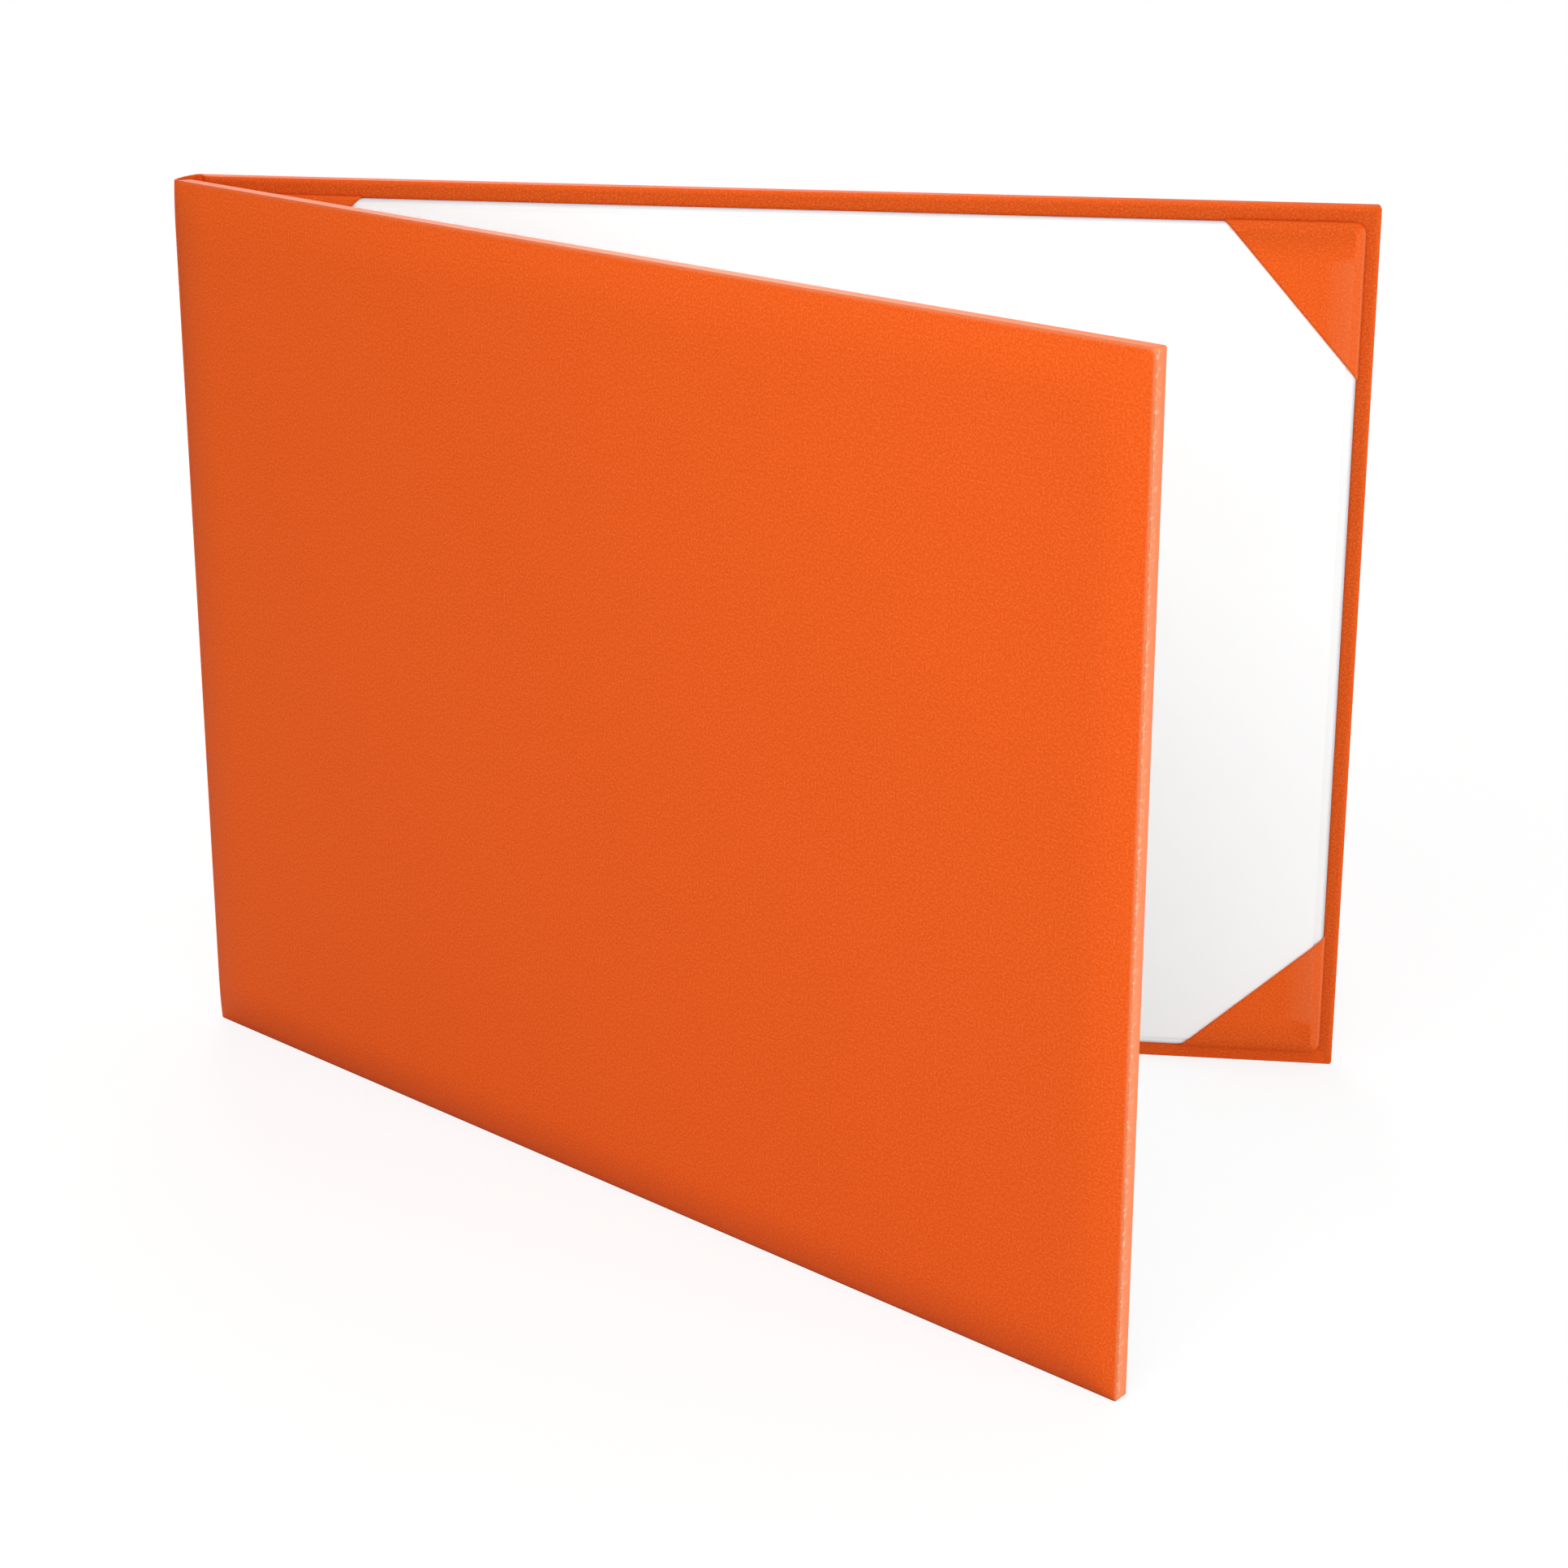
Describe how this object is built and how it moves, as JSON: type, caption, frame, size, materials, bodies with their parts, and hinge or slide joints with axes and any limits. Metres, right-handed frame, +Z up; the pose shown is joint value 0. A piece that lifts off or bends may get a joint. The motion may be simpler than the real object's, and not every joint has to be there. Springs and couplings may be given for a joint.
{
  "type": "diploma cover",
  "caption": "Padded book-style diploma cover standing open on its edges: two leatherette covers on a spine strip, a white liner and corner pieces that hold a blank sheet.",
  "frame": {"origin": "centre of the standing cover's footprint box, on the surface that it stands on", "axes": "+Z up along the spine, +X along the back cover from the spine towards its free edge, +Y out of the back cover's outer face"},
  "size_m": [0.3, 0.1768, 0.2286],
  "materials": {
    "leatherette": "matte grained leatherette, orange",
    "foam": "soft open foam",
    "greyboard": "raw grey board",
    "white_card": "smooth white-faced card",
    "blank_paper": "smooth heavy white paper"
  },
  "bodies": {
    "back_cover": {"back_wrap": "leatherette", "back_pad": "foam", "back_board": "greyboard", "back_hinge_flap": "leatherette", "liner_board": "white_card", "certificate_sheet": "blank_paper", "corner_top_outer": "leatherette", "corner_bottom_outer": "leatherette", "corner_top_spine": "leatherette", "corner_bottom_spine": "leatherette"},
    "spine": {"spine_strip": "leatherette", "spine_lining": "leatherette"},
    "front_cover": {"front_wrap": "leatherette", "front_pad": "foam", "front_board": "greyboard", "front_hinge_flap": "leatherette", "front_lining": "white_card"}
  },
  "joints": [
    {"name": "back_fold", "type": "hinge", "parent": "back_cover", "child": "spine", "pos_m": [-0.14664, 0.08658, 0.1143], "axis": [0, 0, -1], "range_deg": [-16.85, 73.15]},
    {"name": "front_fold", "type": "hinge", "parent": "spine", "child": "front_cover", "pos_m": [-0.14977, 0.07624, 0.1143], "axis": [0, 0, -1], "range_deg": [-16.85, 73.15]}
  ],
  "couplings": [
    {"joint": "front_fold", "follows": "back_fold", "ratio": 1}
  ]
}
